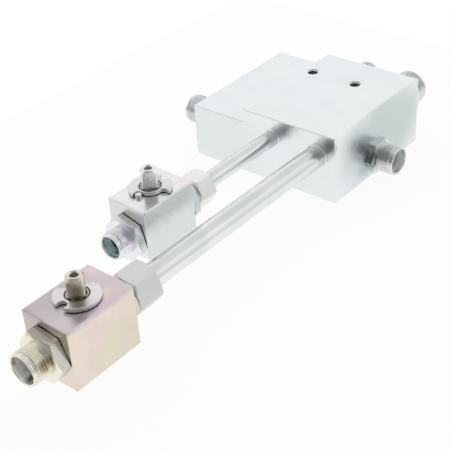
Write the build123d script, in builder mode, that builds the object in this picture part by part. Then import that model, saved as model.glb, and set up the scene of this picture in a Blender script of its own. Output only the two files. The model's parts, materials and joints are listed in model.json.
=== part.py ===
from build123d import *
import os
from dataclasses import dataclass
from math import cos, radians, sqrt, tan

# Hydraulic manifold block with two square bodied ball valves on brazed tubes.
# Lengths are in millimetres. The origin is the centre of the block's base face,
# +X points right as seen from the valves, +Y runs from the valves to the back, +Z is up.

# Manifold block, a steel bar with a lower strip milled along its left side
block_width = 175.0
block_depth = 148.0
block_height = 71.0
low_strip_width = 64.0
low_strip_drop = 14.0
block_edge = 0.8

# Two tapped holes in the top face
tapped_hole_d = 10.2
tapped_hole_depth = 25.0
tapped_hole_spacing = 52.0
tapped_hole_middle_x = 14.0
tapped_hole_y = 30.0

# Near line: tube, cone ends and drillings on one axis through the block
near_x = 65.5
near_z = 46.5
near_tube_d = 22.0
near_tube_wall = 2.5
near_bore_d = 19.0

# Far line
far_x = 13.0
far_z = 50.0
far_tube_d = 16.0
far_tube_wall = 2.0
far_bore_d = 12.0

# Free end of the far valve, one tube size above its own line
far_inlet_tube_d = 18.0
far_inlet_bore_d = 14.0

# Large port at the back of the near line
large_tube_d = 28.0
large_bore_d = 24.0

# Side ports, both of the near line's size
right_port_y = 0.0
right_port_z = 19.0
left_port_from_front = 27.0
left_port_z = 35.0
left_gallery_d = 14.0
gallery_overrun = 4.0

# Cone end for a compression fitting: every tube size has the same walls and angles
cone_half_angle = 12.0
mouth_flare = 1.15
end_wall = 4.0
mouth_break = 0.4
socket_depth = 11.0
undercut_length = 1.5
undercut_depth = 1.3
plain_end_length = 2.5
plain_end_step = 0.8
end_break = 0.4

# Port studs, screwed into the block on a ring seal
stud_hex_height = 5.5
stud_end_length = 19.0
near_stud_hex_over_thread = 2.0
far_stud_hex_over_thread = 3.0
large_stud_hex_over_thread = 5.0
shank_below_thread = 3.6
shank_length = 14.0
shank_tip_break = 1.2
port_hole_spare = 3.0
seal_width = 1.6
seal_height = 1.2
seal_inset = 0.4
right_stud_turn = 3.0
left_stud_turn = 20.0
large_stud_turn = 30.0
small_stud_turn = 10.0

# Tubes in the block's front face
tube_socket_depth = 12.0
braze_leg = 1.0

# Plug in the base, below the drilling that joins the right port to the near line
base_plug_d = 22.0
base_plug_length = 5.0
base_plug_dish = 1.5

# Near valve
near_reach = 308.5
near_body_width = 50.0
near_body_length = 70.0
near_body_height = 57.0
near_axis_height = 28.5
near_ball_d = 34.0
near_port_d = 20.0
near_adapter_hex = 41.0
near_adapter_hex_height = 11.0
near_rear_hex_height = 7.0
near_end_length = 16.5
near_nut_gap = 3.0
near_nut_length = 27.0
near_stop_pin_d = 4.5
near_stop_pin_radius = 16.3

# Far valve
far_reach = 170.0
far_body_width = 43.0
far_body_length = 62.0
far_body_height = 49.0
far_axis_height = 19.0
far_ball_d = 26.0
far_port_d = 13.0
far_adapter_hex = 38.0
far_adapter_hex_height = 9.5
far_rear_hex_height = 9.5
far_end_length = 14.0
far_nut_gap = 6.5
far_nut_length = 20.0
far_stop_pin_d = 6.0
far_stop_pin_radius = 14.8

# Parts that both valves share in form
body_edge = 0.9
chamber_gap = 0.6
seat_lip = 1.8
seat_width = 5.5
seat_bore_over_port = 0.3
hex_face_ratio = 0.96
hex_corner_margin = 0.05
hex_chamfer_angle = 30.0
adapter_collar_ratio = 0.9
adapter_collar_height = 0.8
nut_wall = 3.0
nut_cone_stand = 3.0
ring_collar_step = 1.0
ring_tail_wall = 0.5
o_ring_section = 2.0
o_ring_squeeze = 0.85
o_ring_corner = 0.29
adapter_o_ring_inset = 5.0

# Spindle, stop disc and stop pin
spindle_d = 18.0
spindle_shoulder_d = 22.0
spindle_shoulder_height = 3.0
thrust_washer_height = 1.2
spindle_rise = 22.0
spindle_square = 14.0
corner_turning = 0.2
spindle_top_chamfer = 3.2
spindle_hole_d = 6.8
spindle_hole_mouth_d = 8.7
spindle_hole_depth = 15.0
tang_width = 6.5
tang_length = 12.0
ball_slot_depth = 4.0
disc_d = 38.4
disc_height = 3.2
disc_stand = 0.8
disc_edge = 0.6
disc_recess_d = 18.6
disc_recess_depth = 1.0
stop_pin_seat = 7.0
stop_pin_drop = 0.8
stop_play = 0.4
quarter_turn = 90.0
keeper_notch_d = 8.0
keeper_notch_radius = 15.9
keeper_notch_angle = 135.0
snap_ring_section = 0.85
snap_ring_height = 0.8
snap_ring_gap_angle = 50.0
snap_ring_gap_turn = 135.0
snap_groove_depth = 0.9

# Clearances
screw_play = 0.1
tube_play = 0.1
running_play = 0.05
ball_play = 0.1
washer_play = 0.3
axial_play = 0.1
slot_play = 0.1
press_play = 0.02


@dataclass(frozen=True)
class ConeEnd:
    """Threaded 24 degree cone end that takes one size of tube."""

    tube_d: float
    bore_d: float

    @property
    def tube_r(self):
        """Radius of the tube that the socket takes."""
        return self.tube_d / 2

    @property
    def thread_r(self):
        """Outer radius of the thread."""
        return self.tube_r + end_wall

    @property
    def mouth_r(self):
        """Radius of the cone at the mouth."""
        return self.tube_r + mouth_flare

    @property
    def cone_length(self):
        """Length of the cone from the mouth down to the tube's socket."""
        return (mouth_flare - tube_play) / tan(radians(cone_half_angle))


@dataclass(frozen=True)
class Valve:
    """Sizes and place of one ball valve; its ball's centre is the middle of its body."""

    name: str
    x: float
    y: float
    z: float
    front_end: ConeEnd
    rear_end: ConeEnd
    width: float
    length: float
    height: float
    axis_height: float
    ball_r: float
    port_r: float
    adapter_hex: float
    front_hex_height: float
    rear_hex_height: float
    front_end_length: float
    nut_gap: float
    nut_length: float
    front_turn: float
    rear_turn: float
    nut_turn: float
    disc_turn: float
    pin_r: float
    pin_radius: float

    @property
    def chamber_r(self):
        """Radius of the bore that holds the ball, its seats and the adapters."""
        return self.ball_r + chamber_gap

    @property
    def seat_back(self):
        """Distance from the ball's centre to the back of each seat."""
        inner_r = self.port_r + seat_bore_over_port
        return sqrt((self.ball_r + ball_play) ** 2 - inner_r ** 2) + seat_lip

    @property
    def top(self):
        """Height of the body's top face."""
        return self.z - self.axis_height + self.height

    @property
    def shoulder_bottom(self):
        """Height of the underside of the spindle's shoulder, at the top of the through bore."""
        return self.z + self.chamber_r

    @property
    def pocket_top(self):
        """Height of the face that the spindle's thrust washer bears on."""
        return self.shoulder_bottom + spindle_shoulder_height + axial_play + thrust_washer_height

    @property
    def mouth(self):
        """Distance from the body's end face to an adapter's mouth."""
        return self.front_hex_height + self.front_end_length

    @property
    def disc_bottom(self):
        """Height of the stop disc's underside."""
        return self.top + disc_stand

    @property
    def ring_bottom(self):
        """Height of the snap ring's underside, in the recess of the disc's top."""
        return self.disc_bottom + disc_height - disc_recess_depth + slot_play

    def end_seat(self, side):
        """Plane on the body's front (-1) or rear (1) end face, looking outwards."""
        origin = (self.x, self.y + side * self.length / 2, self.z)
        return Plane(origin=origin, x_dir=(-side, 0, 0), z_dir=(0, side, 0))

    def upright(self, height):
        """Horizontal plane on the spindle's axis at a height."""
        return Plane(origin=(self.x, self.y, height))


near_end = ConeEnd(near_tube_d, near_bore_d)
far_end = ConeEnd(far_tube_d, far_bore_d)
far_inlet_end = ConeEnd(far_inlet_tube_d, far_inlet_bore_d)
large_end = ConeEnd(large_tube_d, large_bore_d)

near_valve = Valve(
    name="near", x=near_x, y=-block_depth / 2 - near_reach, z=near_z,
    front_end=near_end, rear_end=near_end,
    width=near_body_width, length=near_body_length, height=near_body_height,
    axis_height=near_axis_height, ball_r=near_ball_d / 2, port_r=near_port_d / 2,
    adapter_hex=near_adapter_hex, front_hex_height=near_adapter_hex_height,
    rear_hex_height=near_rear_hex_height, front_end_length=near_end_length,
    nut_gap=near_nut_gap, nut_length=near_nut_length,
    front_turn=-6.5, rear_turn=4.0, nut_turn=10.0, disc_turn=135.0,
    pin_r=near_stop_pin_d / 2, pin_radius=near_stop_pin_radius)

far_valve = Valve(
    name="far", x=far_x, y=-block_depth / 2 - far_reach, z=far_z,
    front_end=far_inlet_end, rear_end=far_end,
    width=far_body_width, length=far_body_length, height=far_body_height,
    axis_height=far_axis_height, ball_r=far_ball_d / 2, port_r=far_port_d / 2,
    adapter_hex=far_adapter_hex, front_hex_height=far_adapter_hex_height,
    rear_hex_height=far_rear_hex_height, front_end_length=far_end_length,
    nut_gap=far_nut_gap, nut_length=far_nut_length,
    front_turn=-14.5, rear_turn=14.5, nut_turn=3.0, disc_turn=-45.0,
    pin_r=far_stop_pin_d / 2, pin_radius=far_stop_pin_radius)


def save(piece, name):
    """Label a finished piece and write it as its own STEP file."""
    piece.part.label = name
    export_step(piece.part, f"parts/{name}.step")


def half_plane(seat):
    """Plane through the seat's axis: its X is the radius and its Y the height above the seat."""
    return Plane(origin=seat.origin, x_dir=seat.x_dir, z_dir=seat.x_dir.cross(seat.z_dir))


def turn(seat, outline, mode=Mode.ADD):
    """Revolve a closed outline of (radius, height) points about the seat's axis."""
    with BuildSketch(half_plane(seat)) as section:
        with BuildLine():
            Polyline(*outline, close=True)
        make_face()
    revolve(section.sketch, axis=Axis(seat.origin, seat.z_dir), mode=mode)


def hexagon(seat, across_flats, start, end, rotation, both_ends=False):
    """Hexagon from one height to another, its corners turned to a chamfer at the end face."""
    with BuildSketch(seat.offset(start)) as section:
        RegularPolygon(across_flats / 2, 6, major_radius=False, rotation=rotation)
    extrude(section.sketch, amount=end - start)
    corner_r = across_flats / 2 / cos(radians(30)) + hex_corner_margin
    face_r = across_flats / 2 * hex_face_ratio
    rise = (corner_r - face_r) * tan(radians(hex_chamfer_angle))
    base = [(face_r, start), (corner_r, start + rise)] if both_ends else [(corner_r, start)]
    turn(seat, [(0, start), *base, (corner_r, end - rise), (face_r, end), (0, end)], Mode.INTERSECT)


def add_cone_end(seat, end, base, length):
    """Add the threaded end above a hexagon, from the height base."""
    root_r = end.thread_r - undercut_depth
    plain_r = end.thread_r - plain_end_step
    tip = base + length
    turn(seat, [
        (0, base), (root_r, base), (root_r, base + undercut_length),
        (end.thread_r, base + undercut_length + undercut_depth),
        (end.thread_r, tip - plain_end_length - plain_end_step),
        (plain_r, tip - plain_end_length), (plain_r, tip - end_break),
        (plain_r - end_break, tip), (0, tip)])


def cut_cone_socket(seat, end, tip, bore_r, bottom):
    """Cut the cone, the tube's socket and the bore below it, from the mouth at the height tip."""
    socket_r = end.tube_r + tube_play
    turn(seat, [
        (0, tip), (end.mouth_r + mouth_break, tip), (end.mouth_r, tip - mouth_break),
        (socket_r, tip - mouth_break - end.cone_length), (socket_r, tip - socket_depth),
        (bore_r, tip - socket_depth), (bore_r, bottom), (0, bottom)], Mode.SUBTRACT)


def ring_outline(inner_r, outer_r, bottom, top):
    """Rectangular section of a ring."""
    return [(inner_r, bottom), (outer_r, bottom), (outer_r, top), (inner_r, top)]


def rounded_ring(seat, inner_r, outer_r, bottom, top):
    """Seal ring of nearly round section: a rectangle with its corners cut."""
    cut = (outer_r - inner_r) * o_ring_corner
    turn(seat, [
        (inner_r + cut, bottom), (outer_r - cut, bottom), (outer_r, bottom + cut),
        (outer_r, top - cut), (outer_r - cut, top), (inner_r + cut, top),
        (inner_r, top - cut), (inner_r, bottom + cut)])


def shank_r(end):
    """Radius of a port stud's shank, which screws into the block."""
    return end.thread_r - shank_below_thread / 2


def seal_inner_r(end):
    """Inner radius of a port stud's seal ring."""
    return shank_r(end) + seal_inset


def make_port_stud(name, seat, end, hex_over_thread, rotation):
    """Port stud and its seal ring on a face of the block."""
    across_flats = 2 * end.thread_r + hex_over_thread
    groove_r = seal_inner_r(end) + seal_width
    tip = stud_hex_height + stud_end_length
    with BuildPart() as stud:
        hexagon(seat, across_flats, 0, stud_hex_height, rotation)
        turn(seat, [
            (0, 0), (shank_r(end), 0), (shank_r(end), shank_tip_break - shank_length),
            (shank_r(end) - shank_tip_break, -shank_length), (0, -shank_length)])
        add_cone_end(seat, end, stud_hex_height, stud_end_length)
        cut_cone_socket(seat, end, tip, end.bore_d / 2, -shank_length)
        turn(seat, ring_outline(shank_r(end), groove_r + screw_play, 0, seal_height), Mode.SUBTRACT)
    save(stud, f"{name}_port_stud")

    with BuildPart() as seal:
        turn(seat, ring_outline(seal_inner_r(end), groove_r, 0, seal_height))
    save(seal, f"{name}_port_seal")


def port_hole(seat, end, gallery_d, reach):
    """Cut a stud's hole and the gallery beyond it, down to a depth."""
    hole_r = shank_r(end) + screw_play
    floor = -shank_length - port_hole_spare
    turn(seat, [
        (0, 0), (hole_r, 0), (hole_r, floor), (gallery_d / 2, floor),
        (gallery_d / 2, -reach), (0, -reach)], Mode.SUBTRACT)


def tube_hole(seat, end, wall):
    """Cut a tube's socket and its drilling as far as the middle of the block."""
    socket_r = end.tube_r + tube_play
    bore_r = end.tube_r - wall
    turn(seat, [
        (0, 0), (socket_r, 0), (socket_r, -tube_socket_depth), (bore_r, -tube_socket_depth),
        (bore_r, -block_depth / 2), (0, -block_depth / 2)], Mode.SUBTRACT)


# Planes on the block's faces, each looking outwards
near_front = Plane(origin=(near_x, -block_depth / 2, near_z), x_dir=(1, 0, 0), z_dir=(0, -1, 0))
far_front = Plane(origin=(far_x, -block_depth / 2, far_z), x_dir=(1, 0, 0), z_dir=(0, -1, 0))
near_back = Plane(origin=(near_x, block_depth / 2, near_z), x_dir=(-1, 0, 0), z_dir=(0, 1, 0))
far_back = Plane(origin=(far_x, block_depth / 2, far_z), x_dir=(-1, 0, 0), z_dir=(0, 1, 0))
right_face = Plane(origin=(block_width / 2, right_port_y, right_port_z), x_dir=(0, 1, 0), z_dir=(1, 0, 0))
left_port_y = left_port_from_front - block_depth / 2
left_face = Plane(origin=(-block_width / 2, left_port_y, left_port_z), x_dir=(0, -1, 0), z_dir=(-1, 0, 0))
base_below_near = Plane(origin=(near_x, right_port_y, 0), x_dir=(1, 0, 0), z_dir=(0, 0, -1))

os.makedirs("parts", exist_ok=True)


# The block: a stepped bar, drilled from four sides, with a cross drilling from below
def make_manifold_block():
    """Manifold block with its ports, galleries and tapped holes, and the plug in its base."""
    left = -block_width / 2
    right = block_width / 2
    step_x = left + low_strip_width
    step_z = block_height - low_strip_drop
    with BuildPart() as block:
        with BuildSketch(Plane.XZ):
            with BuildLine():
                Polyline((left, 0), (right, 0), (right, block_height), (step_x, block_height),
                         (step_x, step_z), (left, step_z), close=True)
            make_face()
        extrude(amount=block_depth / 2, both=True)
        inner_corner = block.edges().filter_by(Axis.Y).sort_by_distance((step_x, 0, step_z))[0]
        chamfer([edge for edge in block.edges() if edge != inner_corner], length=block_edge)
        port_hole(near_back, large_end, large_bore_d, block_depth / 2)
        port_hole(far_back, far_end, far_bore_d, block_depth / 2)
        port_hole(right_face, near_end, near_bore_d, right - near_x + near_bore_d / 2 + gallery_overrun)
        port_hole(left_face, near_end, left_gallery_d, near_x - left + gallery_overrun)
        tube_hole(near_front, near_end, near_tube_wall)
        tube_hole(far_front, far_end, far_tube_wall)
        turn(base_below_near, [
            (0, 0), (base_plug_d / 2, 0), (base_plug_d / 2, -base_plug_length),
            (near_bore_d / 2, -base_plug_length), (near_bore_d / 2, -near_z), (0, -near_z)],
            Mode.SUBTRACT)
        half_spacing = tapped_hole_spacing / 2
        with Locations((tapped_hole_middle_x - half_spacing, tapped_hole_y, block_height),
                       (tapped_hole_middle_x + half_spacing, tapped_hole_y, block_height)):
            Hole(tapped_hole_d / 2, tapped_hole_depth)
    save(block, "manifold_block")

    rim_r = base_plug_d / 2 - press_play
    dish_r = rim_r - base_plug_dish
    with BuildPart() as base_plug:
        turn(base_below_near, [
            (0, -base_plug_dish), (dish_r, -base_plug_dish), (rim_r, 0),
            (rim_r, -base_plug_length), (0, -base_plug_length)])
    save(base_plug, "base_plug")


def make_tube(valve, front, wall):
    """Tube from the valve's rear adapter into the block, and the braze round its root."""
    valve_end = valve.y + valve.length / 2 + valve.mouth - socket_depth
    reach = -block_depth / 2 - valve_end
    with BuildPart() as tube:
        turn(front, ring_outline(valve.rear_end.tube_r - wall, valve.rear_end.tube_r, -tube_socket_depth, reach))
    save(tube, f"{valve.name}_tube")

    inner_r = valve.rear_end.tube_r + press_play
    outer_r = inner_r + braze_leg
    hollow = braze_leg * (1 - sqrt(0.5))
    with BuildPart() as braze:
        with BuildSketch(half_plane(front)):
            with BuildLine():
                Polyline((inner_r, braze_leg), (inner_r, 0), (outer_r, 0))
                ThreePointArc((outer_r, 0), (inner_r + hollow, hollow), (inner_r, braze_leg))
            make_face()
        revolve(axis=Axis(front.origin, front.z_dir))
    save(braze, f"{valve.name}_braze_ring")


# The valves
def make_body(valve):
    """Square valve body with its through bore, spindle bore and stop pin hole."""
    with BuildPart() as body:
        with BuildSketch(valve.upright(valve.z - valve.axis_height)):
            Rectangle(valve.width, valve.length)
        extrude(amount=valve.height)
        chamfer(body.edges(), length=body_edge)
        turn(valve.end_seat(-1), [
            (0, 0), (valve.chamber_r, 0), (valve.chamber_r, -valve.length), (0, -valve.length)],
            Mode.SUBTRACT)
        pocket_r = spindle_shoulder_d / 2 + washer_play
        bore_r = spindle_d / 2 + running_play
        turn(valve.upright(0), [
            (0, valve.z), (pocket_r, valve.z), (pocket_r, valve.pocket_top),
            (bore_r, valve.pocket_top), (bore_r, valve.top), (0, valve.top)], Mode.SUBTRACT)
        pin_hole_r = valve.pin_r + press_play
        turn(stop_pin_seat_plane(valve), [
            (0, 0), (pin_hole_r, 0), (pin_hole_r, -stop_pin_seat), (0, -stop_pin_seat)],
            Mode.SUBTRACT)
    save(body, f"{valve.name}_valve_body")


def stop_pin_seat_plane(valve):
    """Plane on the body's top at the stop pin, where the recess of the open valve ends."""
    arm = Vector(valve.pin_radius, 0, 0).rotate(Axis.Z, valve.disc_turn - quarter_turn / 2)
    return Plane(origin=Vector(valve.x, valve.y, valve.top) + arm)


def make_adapter(valve, side, rotation):
    """Screwed end adapter and its o-ring, at the front (-1) or rear (1) of the valve."""
    seat = valve.end_seat(side)
    if side < 0:
        place, end, hex_height = "front", valve.front_end, valve.front_hex_height
    else:
        place, end, hex_height = "rear", valve.rear_end, valve.rear_hex_height
    spigot_r = valve.chamber_r - screw_play
    spigot_depth = valve.length / 2 - valve.seat_back
    groove_top = -adapter_o_ring_inset
    groove_bottom = groove_top - o_ring_section - 2 * slot_play
    groove_r = spigot_r - o_ring_section * o_ring_squeeze
    collar_r = valve.adapter_hex / 2 * adapter_collar_ratio
    with BuildPart() as adapter:
        hexagon(seat, valve.adapter_hex, adapter_collar_height, hex_height, rotation)
        turn(seat, ring_outline(0, collar_r, 0, adapter_collar_height))
        turn(seat, ring_outline(0, spigot_r, -spigot_depth, 0))
        add_cone_end(seat, end, hex_height, valve.mouth - hex_height)
        cut_cone_socket(seat, end, valve.mouth, end.bore_d / 2, -spigot_depth)
        turn(seat, ring_outline(groove_r, spigot_r, groove_bottom, groove_top), Mode.SUBTRACT)
    save(adapter, f"{valve.name}_{place}_adapter")

    with BuildPart() as o_ring:
        rounded_ring(seat, groove_r + press_play, valve.chamber_r - press_play,
                     groove_bottom + slot_play, groove_top - slot_play)
    save(o_ring, f"{valve.name}_{place}_adapter_o_ring")


def make_seat(valve, side):
    """Ball seat ring between the ball and an adapter."""
    seat = Plane(origin=(valve.x, valve.y, valve.z), x_dir=(-side, 0, 0), z_dir=(0, side, 0))
    inner_r = valve.port_r + seat_bore_over_port
    outer_r = valve.chamber_r - screw_play
    place = "front" if side < 0 else "rear"
    with BuildPart() as ring:
        turn(seat, ring_outline(inner_r, outer_r, valve.seat_back - seat_width, valve.seat_back))
        with Locations((valve.x, valve.y, valve.z)):
            Sphere(valve.ball_r + ball_play, mode=Mode.SUBTRACT)
    save(ring, f"{valve.name}_{place}_ball_seat")


def make_ball(valve):
    """Ball with its port along the valve and, square to it, the spindle's slot."""
    with BuildPart() as ball:
        with Locations((valve.x, valve.y, valve.z)):
            Sphere(valve.ball_r)
        turn(valve.end_seat(-1), [
            (0, 0), (valve.port_r, 0), (valve.port_r, -valve.length), (0, -valve.length)],
            Mode.SUBTRACT)
        with BuildSketch(valve.upright(valve.z + valve.ball_r - ball_slot_depth)):
            Rectangle(2 * valve.ball_r, tang_width + 2 * slot_play)
        extrude(amount=ball_slot_depth, mode=Mode.SUBTRACT)
    save(ball, f"{valve.name}_ball")


def make_spindle(valve):
    """Spindle with tang, shoulder and square head, its o-ring and its thrust washer."""
    shaft_r = spindle_d / 2
    shoulder_r = spindle_shoulder_d / 2
    corner_r = shaft_r - corner_turning / 2
    shoulder_top = valve.shoulder_bottom + spindle_shoulder_height
    head_top = valve.top + spindle_rise
    groove_middle = (valve.pocket_top + valve.top) / 2
    groove_r = shaft_r - o_ring_section * o_ring_squeeze
    half_groove = o_ring_section / 2 + slot_play
    axis = valve.upright(0)
    with BuildPart() as spindle:
        with BuildSketch(valve.upright(valve.disc_bottom)):
            Rectangle(spindle_square, spindle_square, rotation=45)
            Circle(corner_r, mode=Mode.INTERSECT)
        extrude(amount=head_top - valve.disc_bottom)
        turn(axis, [
            (0, valve.disc_bottom), (corner_r, valve.disc_bottom),
            (corner_r, head_top - spindle_top_chamfer), (corner_r - spindle_top_chamfer, head_top),
            (0, head_top)], Mode.INTERSECT)
        turn(axis, ring_outline(corner_r - snap_groove_depth, shaft_r, valve.ring_bottom,
                                valve.ring_bottom + snap_ring_height + slot_play), Mode.SUBTRACT)
        turn(axis, [
            (0, valve.shoulder_bottom), (shoulder_r, valve.shoulder_bottom),
            (shoulder_r, shoulder_top), (shaft_r, shoulder_top),
            (shaft_r, groove_middle - half_groove), (groove_r, groove_middle - half_groove),
            (groove_r, groove_middle + half_groove), (shaft_r, groove_middle + half_groove),
            (shaft_r, valve.disc_bottom), (0, valve.disc_bottom)])
        with BuildSketch(valve.upright(valve.shoulder_bottom)):
            Rectangle(tang_length, tang_width)
        extrude(amount=-(chamber_gap + ball_slot_depth - slot_play))
        mouth_r = spindle_hole_mouth_d / 2
        hole_r = spindle_hole_d / 2
        turn(axis, [
            (0, head_top), (mouth_r, head_top), (hole_r, head_top - (mouth_r - hole_r)),
            (hole_r, head_top - spindle_hole_depth), (0, head_top - spindle_hole_depth)],
            Mode.SUBTRACT)
    save(spindle, f"{valve.name}_spindle")

    with BuildPart() as o_ring:
        rounded_ring(axis, groove_r + press_play, shaft_r, groove_middle - o_ring_section / 2,
                     groove_middle + o_ring_section / 2)
    save(o_ring, f"{valve.name}_spindle_o_ring")

    with BuildPart() as washer:
        turn(axis, ring_outline(shaft_r + washer_play, shoulder_r, valve.pocket_top - thrust_washer_height,
                                valve.pocket_top))
    save(washer, f"{valve.name}_thrust_washer")


def make_stop_disc(valve):
    """Stop disc on the spindle's square, with the quarter turn recess and the keeper's notch."""
    end_r = valve.pin_r + stop_play
    inner_r = valve.pin_radius - end_r
    rim_r = disc_d / 2
    reach = rim_r - inner_r
    disc_top = valve.disc_bottom + disc_height
    turned = valve.upright(valve.disc_bottom).rotated((0, 0, valve.disc_turn))
    with BuildPart() as disc:
        with BuildSketch(turned):
            Circle(rim_r)
            with BuildLine():
                first = PolarLine((0, 0), 2 * rim_r, -quarter_turn / 2)
                last = PolarLine((0, 0), 2 * rim_r, quarter_turn / 2)
                Line(first @ 1, last @ 1)
            sector = make_face(mode=Mode.PRIVATE)
            add(sector - Circle(inner_r, mode=Mode.PRIVATE), mode=Mode.SUBTRACT)
            with PolarLocations(valve.pin_radius, 2, start_angle=-quarter_turn / 2,
                                angular_range=2 * quarter_turn):
                Circle(end_r, mode=Mode.SUBTRACT)
                with Locations((reach / 2, 0)):
                    Rectangle(reach, 2 * end_r, mode=Mode.SUBTRACT)
            with PolarLocations(keeper_notch_radius, 1, start_angle=keeper_notch_angle):
                Circle(keeper_notch_d / 2, mode=Mode.SUBTRACT)
                with Locations((keeper_notch_d / 2, 0)):
                    Rectangle(keeper_notch_d, keeper_notch_d, mode=Mode.SUBTRACT)
        extrude(amount=disc_height)
        chamfer(disc.faces().sort_by(Axis.Z)[-1].outer_wire().edges(), length=disc_edge)
        hole_r = spindle_d / 2 - corner_turning / 2 + slot_play
        with BuildSketch(valve.upright(valve.disc_bottom)):
            Rectangle(spindle_square + 2 * slot_play, spindle_square + 2 * slot_play, rotation=45)
            Circle(hole_r, mode=Mode.INTERSECT)
        extrude(amount=disc_height, mode=Mode.SUBTRACT)
        turn(valve.upright(0), ring_outline(0, disc_recess_d / 2, disc_top - disc_recess_depth, disc_top),
             Mode.SUBTRACT)
    save(disc, f"{valve.name}_stop_disc")

    ring_inner_r = spindle_d / 2 - corner_turning / 2 - snap_groove_depth + press_play
    with BuildPart() as snap_ring:
        turn(valve.upright(valve.ring_bottom), ring_outline(
            ring_inner_r, ring_inner_r + snap_ring_section, 0, snap_ring_height))
        with BuildSketch(valve.upright(valve.ring_bottom)):
            with BuildLine():
                lower = PolarLine((0, 0), spindle_d, snap_ring_gap_turn - snap_ring_gap_angle / 2)
                upper = PolarLine((0, 0), spindle_d, snap_ring_gap_turn + snap_ring_gap_angle / 2)
                Line(lower @ 1, upper @ 1)
            make_face()
        extrude(amount=snap_ring_height, mode=Mode.SUBTRACT)
    save(snap_ring, f"{valve.name}_snap_ring")

    pin_top = disc_stand + disc_height - stop_pin_drop
    with BuildPart() as stop_pin:
        turn(stop_pin_seat_plane(valve), [
            (0, -stop_pin_seat), (valve.pin_r, -stop_pin_seat), (valve.pin_r, pin_top - end_break),
            (valve.pin_r - end_break, pin_top), (0, pin_top)])
    save(stop_pin, f"{valve.name}_stop_pin")


def make_union(valve):
    """Union nut on the rear adapter and the cutting ring that it presses onto the tube."""
    seat = valve.end_seat(1)
    end = valve.rear_end
    start = valve.rear_hex_height + valve.nut_gap
    stop = start + valve.nut_length
    thread_r = end.thread_r + screw_play
    tube_r = end.tube_r + tube_play
    cone_start = valve.mouth + nut_cone_stand
    cone_stop = cone_start + thread_r - tube_r
    with BuildPart() as nut:
        hexagon(seat, 2 * (end.thread_r + nut_wall), start, stop, valve.nut_turn, both_ends=True)
        turn(seat, [
            (0, start), (thread_r, start), (thread_r, cone_start), (tube_r, cone_stop),
            (tube_r, stop), (0, stop)], Mode.SUBTRACT)
    save(nut, f"{valve.name}_union_nut")

    inner_r = end.tube_r + press_play
    nose_r = inner_r + (tube_play - press_play) / 2
    collar_r = end.mouth_r + ring_collar_step
    collar_bottom = valve.mouth + slot_play
    collar_top = cone_start + thread_r - collar_r - slot_play
    tail = collar_top + collar_r - inner_r - ring_tail_wall
    nose = valve.mouth - mouth_break - end.cone_length
    with BuildPart() as cutting_ring:
        turn(seat, [
            (inner_r, nose), (nose_r, nose), (end.mouth_r - slot_play, valve.mouth - mouth_break),
            (end.mouth_r - slot_play, collar_bottom), (collar_r, collar_bottom),
            (collar_r, collar_top), (inner_r + ring_tail_wall, tail), (inner_r, tail)])
    save(cutting_ring, f"{valve.name}_cutting_ring")


make_manifold_block()
make_port_stud("right", right_face, near_end, near_stud_hex_over_thread, right_stud_turn)
make_port_stud("left", left_face, near_end, near_stud_hex_over_thread, left_stud_turn)
make_port_stud("rear_large", near_back, large_end, large_stud_hex_over_thread, large_stud_turn)
make_port_stud("rear_small", far_back, far_end, far_stud_hex_over_thread, small_stud_turn)

for valve, front, wall in ((near_valve, near_front, near_tube_wall), (far_valve, far_front, far_tube_wall)):
    make_tube(valve, front, wall)
    make_body(valve)
    make_adapter(valve, -1, valve.front_turn)
    make_adapter(valve, 1, valve.rear_turn)
    make_seat(valve, -1)
    make_seat(valve, 1)
    make_ball(valve)
    make_spindle(valve)
    make_stop_disc(valve)
    make_union(valve)
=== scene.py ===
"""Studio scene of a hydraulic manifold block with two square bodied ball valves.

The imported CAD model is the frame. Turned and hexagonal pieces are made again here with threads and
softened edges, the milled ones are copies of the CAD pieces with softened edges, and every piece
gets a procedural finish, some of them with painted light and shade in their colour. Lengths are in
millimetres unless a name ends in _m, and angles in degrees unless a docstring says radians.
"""

from __future__ import annotations

import json
import logging
import math
from dataclasses import dataclass, field
from enum import Enum

import bmesh
import bpy
from mathutils import Matrix, Vector


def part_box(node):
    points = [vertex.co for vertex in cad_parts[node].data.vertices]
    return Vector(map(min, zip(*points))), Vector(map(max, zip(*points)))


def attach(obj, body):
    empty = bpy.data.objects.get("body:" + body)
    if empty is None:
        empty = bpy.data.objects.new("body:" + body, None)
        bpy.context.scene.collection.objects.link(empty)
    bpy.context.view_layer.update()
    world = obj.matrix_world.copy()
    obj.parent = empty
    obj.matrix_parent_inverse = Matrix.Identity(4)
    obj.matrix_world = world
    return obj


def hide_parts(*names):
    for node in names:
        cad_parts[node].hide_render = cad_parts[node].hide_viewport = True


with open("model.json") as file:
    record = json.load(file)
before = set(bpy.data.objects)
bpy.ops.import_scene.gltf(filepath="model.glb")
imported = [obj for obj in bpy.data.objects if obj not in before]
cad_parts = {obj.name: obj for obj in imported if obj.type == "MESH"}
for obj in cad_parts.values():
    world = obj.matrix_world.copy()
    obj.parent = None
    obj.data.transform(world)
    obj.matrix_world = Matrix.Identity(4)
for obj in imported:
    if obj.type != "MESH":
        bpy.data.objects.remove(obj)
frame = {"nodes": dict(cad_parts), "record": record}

Triple = tuple[float, float, float]
Levels = tuple[tuple[float, float], ...]
Stops = tuple[tuple[float, Triple], ...]
Shape = bmesh.types.BMesh
Socket = bpy.types.NodeSocket

MM = 0.001
SEGMENTS = 96

# Points closer than this are one, in a turned shape and in a copy of a CAD piece.
MERGE = 1e-4
CAD_MERGE_M = 2e-6
CUT_REACH = 1e-5

# Joined triangles bend less than FLAT, and edges sharper than the others are rounded or kept sharp.
FLAT = 0.5
SHARP = 25.0
CAD_SHARP = 35.0
SHADED_SHARP = 50.0

# A thread ridge's half width at its foot and its crest, as shares of the pitch.
RIDGE_FOOT = 0.375
RIDGE_CREST = 1 / 16

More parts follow.
